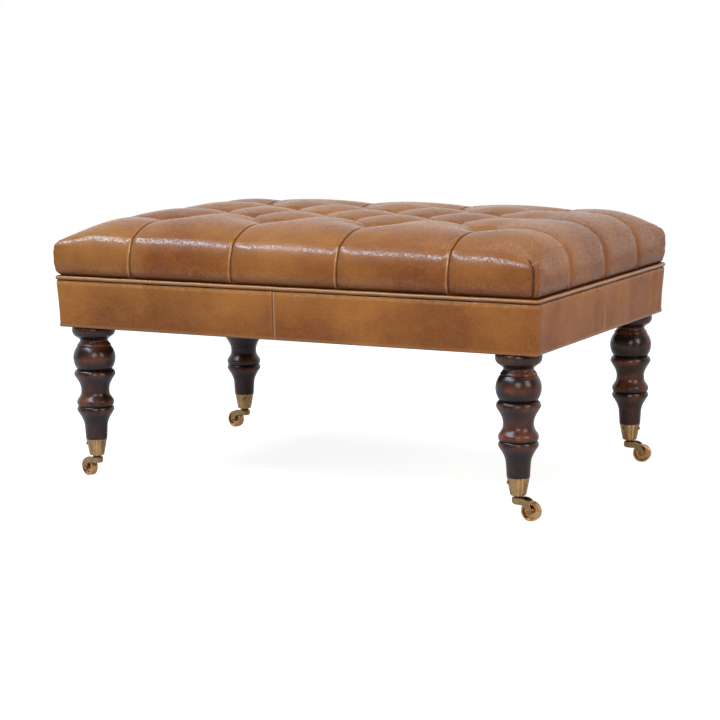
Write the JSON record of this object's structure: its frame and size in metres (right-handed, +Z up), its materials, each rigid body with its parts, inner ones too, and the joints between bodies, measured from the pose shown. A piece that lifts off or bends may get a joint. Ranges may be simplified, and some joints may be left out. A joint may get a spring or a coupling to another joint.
{
  "type": "buttoned leather ottoman",
  "caption": "Low oblong footstool with a deep-buttoned leather top, piped leather border and turned wooden legs on swivelling brass cup castors.",
  "frame": {"origin": "on the floor, under the middle of the ottoman", "axes": "+X along the long side, +Z up, and the -Y side is the long side that the picture shows"},
  "size_m": [0.913, 0.613, 0.47],
  "materials": {
    "leather": "satin",
    "stained_wood": "gloss",
    "brass": "satin",
    "frame_wood": "matte",
    "plywood": "matte",
    "steel": "satin",
    "washer_metal": "satin",
    "foam": "matte",
    "fibre": "matte",
    "felt": "matte",
    "dust_cloth": "matte",
    "twine": "matte",
    "card": "matte"
  },
  "bodies": {
    "ottoman": {"front_rail": "frame_wood", "back_rail": "frame_wood", "left_rail": "frame_wood", "right_rail": "frame_wood", "cross_rail_left": "frame_wood", "cross_rail_right": "frame_wood", "corner_block_front_left": "frame_wood", "corner_block_front_right": "frame_wood", "corner_block_back_right": "frame_wood", "corner_block_back_left": "frame_wood", "frame_screws": "steel", "deck_board": "plywood", "deck_screws": "steel", "foam_block": "foam", "fibre_wrap": "fibre", "leather_top": "leather", "buttons": "leather", "button_ties": "twine", "tie_washers": "steel", "piping": "leather", "border_front_left": "leather", "border_front_right": "leather", "border_back_right": "leather", "border_back_left": "leather", "border_padding": "felt", "backtack_strip": "card", "dust_cover": "dust_cloth", "cover_staples": "steel", "leg_front_left": "stained_wood", "leg_front_right": "stained_wood", "leg_back_right": "stained_wood", "leg_back_left": "stained_wood", "hanger_bolts": "steel", "tee_nuts": "steel", "cup_front_left": "brass", "cup_front_right": "brass", "cup_back_right": "brass", "cup_back_left": "brass", "cup_screws": "brass"},
    "swivel_front_left": {"horn_front_left": "brass", "kingpin_front_left": "steel", "washer_front_left": "washer_metal", "axle_front_left": "brass"},
    "roller_front_left": {"wheel_front_left": "brass"},
    "swivel_front_right": {"horn_front_right": "brass", "kingpin_front_right": "steel", "washer_front_right": "washer_metal", "axle_front_right": "brass"},
    "roller_front_right": {"wheel_front_right": "brass"},
    "swivel_back_right": {"horn_back_right": "brass", "kingpin_back_right": "steel", "washer_back_right": "washer_metal", "axle_back_right": "brass"},
    "roller_back_right": {"wheel_back_right": "brass"},
    "swivel_back_left": {"horn_back_left": "brass", "kingpin_back_left": "steel", "washer_back_left": "washer_metal", "axle_back_left": "brass"},
    "roller_back_left": {"wheel_back_left": "brass"}
  },
  "joints": [
    {"name": "front_left_swivel", "type": "hinge", "parent": "ottoman", "child": "swivel_front_left", "pos_m": [-0.405, -0.262, 0.0386], "axis": [0, 0, 1], "continuous": true},
    {"name": "front_left_roll", "type": "hinge", "parent": "swivel_front_left", "child": "roller_front_left", "pos_m": [-0.42694, -0.25358, 0.016], "axis": [-0.3584, -0.9336, 0], "continuous": true},
    {"name": "front_right_swivel", "type": "hinge", "parent": "ottoman", "child": "swivel_front_right", "pos_m": [0.405, -0.262, 0.0386], "axis": [0, 0, 1], "continuous": true},
    {"name": "front_right_roll", "type": "hinge", "parent": "swivel_front_right", "child": "roller_front_right", "pos_m": [0.42844, -0.26364, 0.016], "axis": [0.0698, 0.9976, 0], "continuous": true},
    {"name": "back_right_swivel", "type": "hinge", "parent": "ottoman", "child": "swivel_back_right", "pos_m": [0.405, 0.262, 0.0386], "axis": [0, 0, 1], "continuous": true},
    {"name": "back_right_roll", "type": "hinge", "parent": "swivel_back_right", "child": "roller_back_right", "pos_m": [0.42832, 0.26486, 0.016], "axis": [-0.1219, 0.9925, 0], "continuous": true},
    {"name": "back_left_swivel", "type": "hinge", "parent": "ottoman", "child": "swivel_back_left", "pos_m": [-0.405, 0.262, 0.0386], "axis": [0, 0, 1], "continuous": true},
    {"name": "back_left_roll", "type": "hinge", "parent": "swivel_back_left", "child": "roller_back_left", "pos_m": [-0.42799, 0.26689, 0.016], "axis": [-0.2079, -0.9781, 0], "continuous": true}
  ]
}
